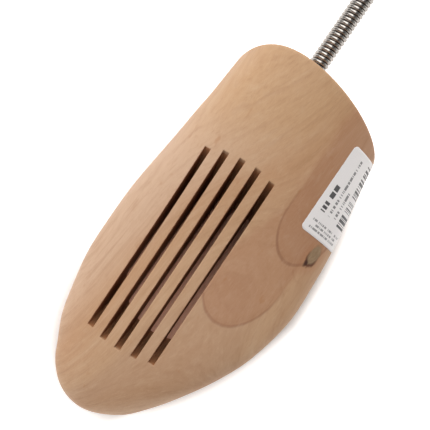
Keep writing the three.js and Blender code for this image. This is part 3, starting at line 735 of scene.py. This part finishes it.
def nickel(name):
    n = Nodes(name)
    uv = n.new("ShaderNodeUVMap", uv_map="wire")
    sep = n.new("ShaderNodeSeparateXYZ")
    n.nt.links.new(uv.outputs[0], sep.inputs[0])
    drawn = n.noise(n.vec(n.mul(sep.outputs[0], 1.6), n.mul(sep.outputs[1], 26.0), 0.0), 1.0, 3.0, 0.6)
    x, y, z, p = n.mm()
    cloud = n.noise(n.vec(n.mul(x, 0.12), n.mul(y, 0.3), n.mul(z, 0.3)), 1.0, 3.0, 0.55)
    col = n.mix(cloud, srgb(146, 141, 136), srgb(178, 173, 168))
    col = n.mix(n.mul(n.step(drawn, 0.5, 0.72), 0.30), col, srgb(104, 98, 94))
    n.put(n.bsdf.inputs["Base Color"], col)
    n.bsdf.inputs["Metallic"].default_value = 1.0
    n.put(n.bsdf.inputs["Roughness"], n.add(0.13, n.mul(drawn, 0.12)))
    n.bump(drawn, 0.12, 0.00004)
    return n.mat


def steel(name):
    n = Nodes(name)
    x, y, z, p = n.mm()
    r = n.hypot(n.sub(x, FRONT_NAIL_X), n.sub(y, SPRING_Y))
    hatch = n.noise(p, 2.2, 3.0, 0.6)
    grid = n.mul(n.math("ABSOLUTE", n.math("SINE", n.mul(x, 9.0))), n.math("ABSOLUTE", n.math("SINE", n.mul(y, 9.0))))
    col = n.mix(hatch, srgb(120, 118, 115), srgb(168, 166, 162))
    n.put(n.bsdf.inputs["Base Color"], col)
    n.bsdf.inputs["Metallic"].default_value = 1.0
    n.put(n.bsdf.inputs["Roughness"], n.add(0.28, n.mul(hatch, 0.25)))
    n.bump(n.add(n.mul(grid, 0.5), hatch), 0.3, 0.00005)
    return n.mat


def paper(name):
    n = Nodes(name)
    uv = n.new("ShaderNodeUVMap", uv_map="print")
    sep = n.new("ShaderNodeSeparateXYZ")
    n.nt.links.new(uv.outputs[0], sep.inputs[0])
    # s runs from the heel end to the toe end of the label, t from its upper edge down
    s, t = n.math("SUBTRACT", 1.0, sep.outputs[0]), sep.outputs[1]

    def band(v, a, b, e=0.004):
        return n.mul(n.step(v, a - e, a + e), n.step(v, b + e, b - e))

    def blocks(u, freq, seed, cut):
        """runs of marks and gaps with uneven lengths; they spell nothing"""
        w = n.new("ShaderNodeTexWhiteNoise", noise_dimensions="1D")
        n.put(w.inputs["W"], n.add(n.math("FLOOR", n.mul(u, freq)), seed))
        return n.math("GREATER_THAN", w.outputs["Value"], cut)

    ink = n.mul(n.mul(band(s, 0.26, 0.60), band(t, 0.13, 0.235)), n.mul(blocks(s, 62.0, 3.0, 0.30), 1.0))
    ink = n.math("MAXIMUM", ink, n.mul(n.mul(band(s, 0.26, 0.94), band(t, 0.325, 0.385)), n.mul(blocks(s, 110.0, 9.0, 0.36), 0.8)))
    ink = n.math("MAXIMUM", ink, n.mul(n.mul(band(s, 0.28, 0.58), band(t, 0.475, 0.54)), n.mul(blocks(s, 104.0, 21.0, 0.38), 0.8)))
    bars = n.mul(n.mul(band(s, 0.235, 0.945), band(t, 0.63, 0.93)), blocks(s, 150.0, 40.0, 0.47))
    ink = n.math("MAXIMUM", ink, bars)
    for i, (a, lo, hi, sd) in enumerate(((0.052, 0.12, 0.86, 60.0), (0.094, 0.22, 0.80, 71.0), (0.136, 0.10, 0.90, 83.0))):
        row = n.mul(band(s, a, a + 0.022, 0.002), band(t, lo, hi))
        ink = n.math("MAXIMUM", ink, n.mul(row, n.mul(blocks(t, 60.0, sd, 0.34), 0.7)))
    x, y, z, p = n.mm()
    fibre = n.noise(p, 3.0, 3.0, 0.6)
    base = n.mix(fibre, srgb(224, 218, 217), srgb(238, 233, 231))
    col = n.mix(n.mul(ink, 0.92), base, srgb(34, 31, 32))
    n.put(n.bsdf.inputs["Base Color"], col)
    n.put(n.bsdf.inputs["Roughness"], n.add(0.42, n.mul(fibre, 0.12)))
    n.bsdf.inputs["Specular IOR Level"].default_value = 0.4
    n.bump(fibre, 0.1, 0.00005)
    return n.mat


def assign(ob, mat):
    ob.data.materials.clear()
    ob.data.materials.append(mat)


wood = birch("birch_forepart")
wood_knob = birch("birch_knob", pith_y=14.0, pith_z=60.0, seed=3.0, figure=False)
wood_dowel = birch("birch_dowel", pith_y=-30.0, pith_z=60.0, seed=7.0, figure=False, tone=1.03)
metal = nickel("nickel_wire")
nailsteel = steel("nail_steel")
label_mat = paper("label_paper")
assign(block, wood)
assign(knob, wood_knob)
for o in spring_pieces:
    assign(o, metal)
for o in nails:
    assign(o, nailsteel)
assign(label, label_mat)
for node in ("front_dowel", "rear_dowel"):
    assign(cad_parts[node], wood_dowel)

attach(block, "forepart")
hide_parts("forepart_block")
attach(knob, "heel")
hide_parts("heel_knob")
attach(label, "forepart")
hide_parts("label")

# ------------------------------------------------------------------ floor, light, camera
floor_me = bpy.data.meshes.new("floor")
s = 3.0
floor_me.from_pydata([(-s, -s, -0.0002), (s, -s, -0.0002), (s, s, -0.0002), (-s, s, -0.0002)], [], [(0, 1, 2, 3)])
floor = bpy.data.objects.new("floor", floor_me)
bpy.context.scene.collection.objects.link(floor)
fm = Nodes("floor_paper_painted_glow")
fx, fy, fz, fp = fm.mm()
fcol = fm.mix(fm.noise(fp, 0.05, 2.0, 0.5), (0.94, 0.93, 0.92, 1), (0.96, 0.95, 0.94, 1))
fm.bsdf.inputs["Roughness"].default_value = 0.9
fm.bsdf.inputs["Specular IOR Level"].default_value = 0.0
# painted light: the floor glows round the block's outline and the glow is masked off beneath it, so the cast shadow
# reaches only a few mm out. Beneath the block the floor is painted warm, a painted bounce light from the wood, and
# glows weakly, more toward the toe.
side = fm.add(fm.add(fy, fm.step(fy, -10.0, 10.0, 1.0, -2.2)), fm.mul(fm.math("MAXIMUM", fm.sub(fx, fm.step(fy, 0.0, 12.0, 100.0, 88.0)), 0.0), fm.step(fy, 0.0, 12.0, 0.12, 0.26)))
reach = fm.math("POWER", fm.add(fm.math("POWER", fm.mul(fm.math("ABSOLUTE", fm.sub(fx, 87.0)), 1 / 81.0), 2.4),
                                fm.math("POWER", fm.mul(fm.math("ABSOLUTE", side), 1 / 45.5), 2.4)), 1 / 2.4)
# painted bounce light and painted glow on the floor under the block, seen through the slots
painted_light_under = fm.mul(fm.step(reach, 0.84, 0.68), fm.step(fx, 24.0, 38.0))
fm.put(fm.bsdf.inputs["Base Color"], fm.mix(painted_light_under, fcol, (0.94, 0.55, 0.40, 1)))
fm.put(fm.bsdf.inputs["Emission Color"], fm.mix(painted_light_under, (1, 1, 1, 1), (1.0, 0.60, 0.43, 1)))
fm.put(fm.bsdf.inputs["Emission Strength"], fm.add(fm.step(reach, 0.94, 1.07, 0.0, 0.56), fm.mul(painted_light_under, fm.step(fx, 66.0, 126.0, 0.0, 0.11))))
assign(floor, fm.mat)

world = bpy.data.worlds.new("studio")
bpy.context.scene.world = world
world.use_nodes = True
wt = world.node_tree
bg = wt.nodes["Background"]


def world_node(kind, *inputs, **props):
    n = wt.nodes.new(kind)
    for k, v in props.items():
        setattr(n, k, v)
    for i, v in enumerate(inputs):
        if isinstance(v, bpy.types.NodeSocket):
            wt.links.new(v, n.inputs[i])
        elif v is not None:
            n.inputs[i].default_value = v
    return n


wc = wt.nodes.new("ShaderNodeTexCoord")
ws = world_node("ShaderNodeSeparateXYZ", wc.outputs["Generated"])
wm = world_node("ShaderNodeMapRange", ws.outputs[1], -1.0, 1.0)
wr = world_node("ShaderNodeValToRGB", wm.outputs[0])
el = wr.color_ramp.elements
el[0].position, el[0].color = 0.0, (0.48, 0.48, 0.48, 1)
el[1].position, el[1].color = 0.62, (0.44, 0.44, 0.44, 1)
for at, v in ((0.72, 0.14), (0.84, 0.17), (0.90, 0.50)):
    e = el.new(at)
    e.color = (v, v * 1.02, v, 1)
# a soft box overhead
boost = None
for axis, lo, hi, gain in (((-0.05, 0.0, 0.999), 0.93, 0.97, 4.4),):
    wd = world_node("ShaderNodeVectorMath", wc.outputs["Generated"], axis, operation="DOT_PRODUCT")
    wz = world_node("ShaderNodeMapRange", wd.outputs["Value"], lo, hi, 0.0, gain)
    boost = wz.outputs[0] if boost is None else world_node("ShaderNodeMath", boost, wz.outputs[0], operation="ADD").outputs[0]
wa = world_node("ShaderNodeMath", boost, 1.0, operation="ADD")
wt.links.new(wr.outputs[0], bg.inputs[0])
wt.links.new(wa.outputs[0], bg.inputs[1])


def area(name, loc, target, size, power, color=(1, 1, 1)):
    d = bpy.data.lights.new(name, "AREA")
    d.shape = "RECTANGLE"
    d.size, d.size_y = size
    d.energy = power
    d.color = color
    o = bpy.data.objects.new(name, d)
    bpy.context.scene.collection.objects.link(o)
    o.location = Vector(loc)
    o.rotation_mode = "QUATERNION"
    o.rotation_quaternion = (Vector(target) - Vector(loc)).to_track_quat("-Z", "Y")
    return o


area("window", (-0.50, -0.27, 0.66), (0.06, 0, 0.02), (0.90, 0.60), 5.5, (1.0, 0.99, 0.975))
area("fill", (0.62, -0.30, 0.30), (0.12, -0.02, 0.02), (0.60, 0.40), 1.1, (1.0, 0.99, 0.98))

cam_d = bpy.data.cameras.new("camera")
cam = bpy.data.objects.new("camera", cam_d)
bpy.context.scene.collection.objects.link(cam)
D = 540.0
pos = Vector((110.2, 21.3, D))
look = Vector((66.9, -8.5, 0.0))
fwd = (look - pos).normalized()
right = Vector((-0.5662, 0.8243, 0.0)).normalized()
right = (right - fwd * right.dot(fwd)).normalized()
up = right.cross(fwd)
cam.matrix_world = Matrix.Translation(pos * MM) @ Matrix((right, up, -fwd)).transposed().to_4x4()
cam_d.sensor_width = 36.0
cam_d.lens = 1218.03 / 430.0 * 36.0
cam_d.clip_start, cam_d.clip_end = 0.01, 20.0
bpy.context.scene.camera = cam
bpy.context.scene.view_settings.view_transform = "Standard"

bpy.context.view_layer.update()
